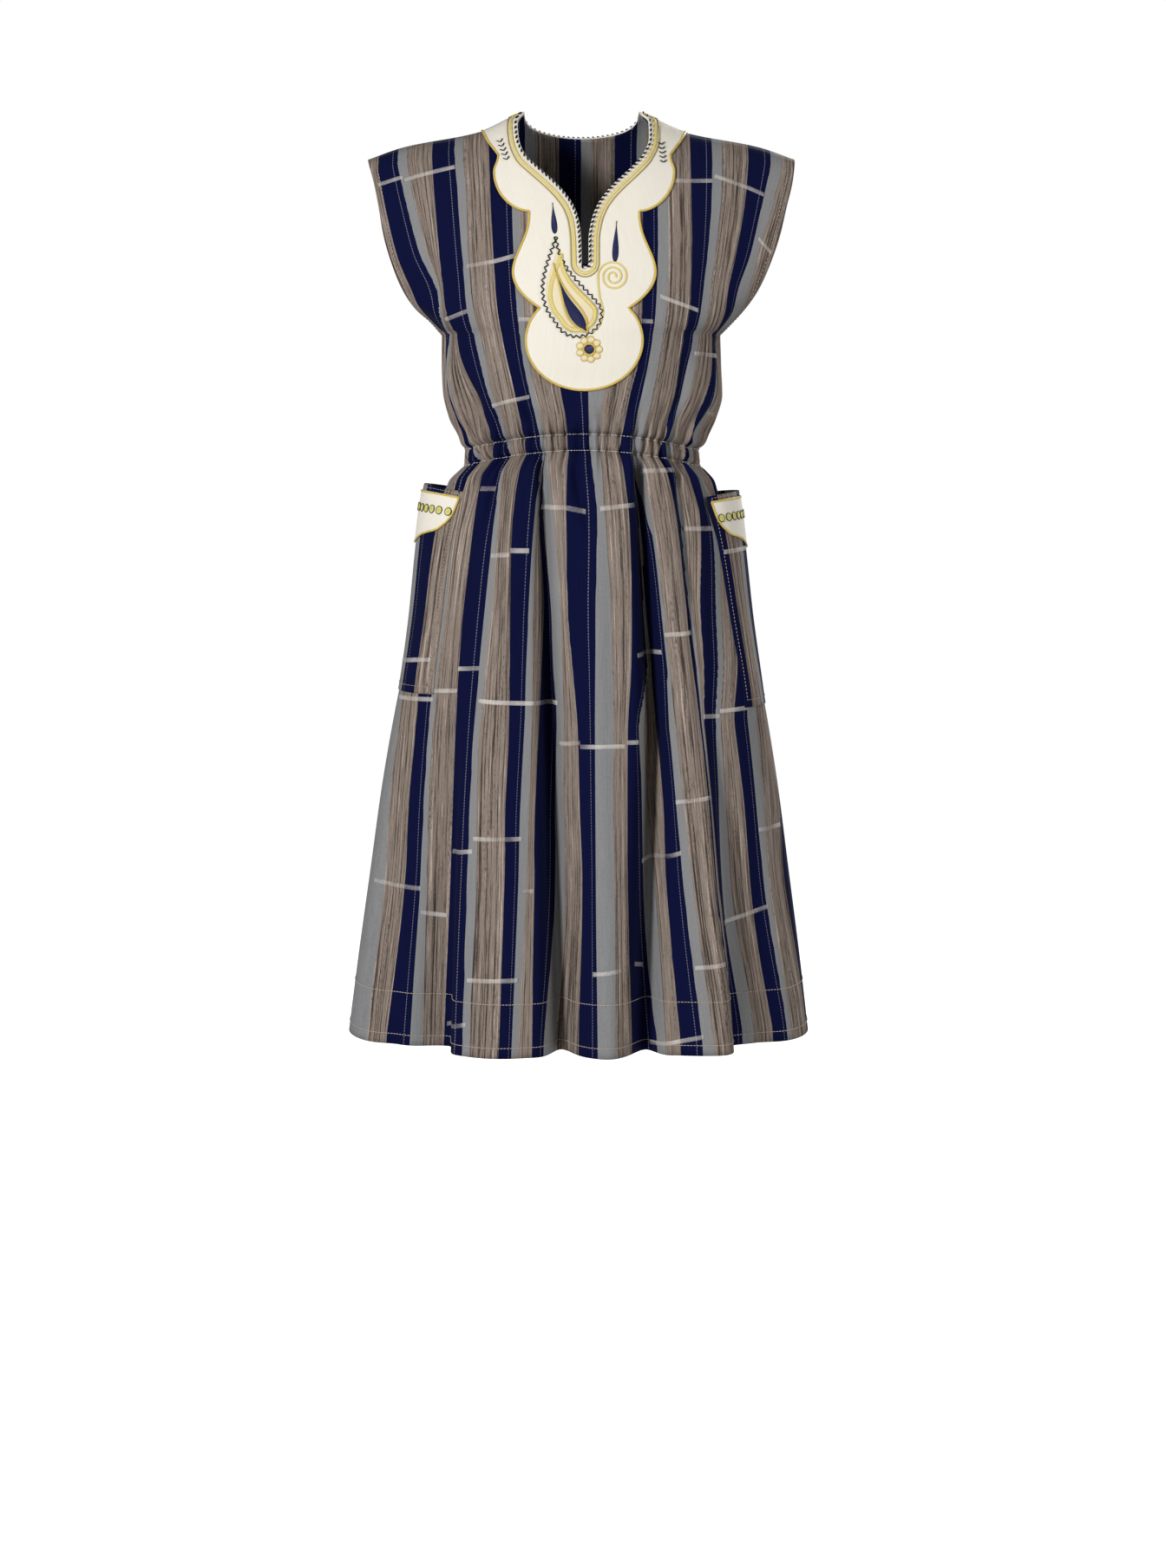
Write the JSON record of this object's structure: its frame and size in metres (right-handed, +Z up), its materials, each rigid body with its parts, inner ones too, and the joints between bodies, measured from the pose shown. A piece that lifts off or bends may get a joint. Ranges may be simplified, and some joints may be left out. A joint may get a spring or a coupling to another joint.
{
  "type": "smock dress",
  "caption": "Sleeveless knee-length smock dress of striped strip-woven cloth, with a scalloped yoke, an elastic waist and side patch pockets, open as worn.",
  "frame": {"origin": "on the shoulder line, midway between the two sides of the neck, where the garment hangs from the wearer's shoulders", "axes": "+Z up, the front faces -Y, +X to the right as seen from in front"},
  "size_m": [0.4995, 0.3216, 0.9897],
  "materials": {
    "striped_cloth": "matt hand-woven cotton, striped navy, grey and brown",
    "cream_cloth": "plain cream cotton applique",
    "satin": "pale yellow satin stitch band with a gold cord"
  },
  "bodies": {
    "root": {"front": "striped_cloth", "back": "striped_cloth", "yoke_front": "cream_cloth", "yoke_back": "cream_cloth", "neck_binding_front": "satin", "neck_binding_back": "satin", "pocket_left": "striped_cloth", "pocket_right": "striped_cloth", "pocket_trim_left": "cream_cloth", "pocket_trim_right": "cream_cloth"}
  },
  "joints": []
}
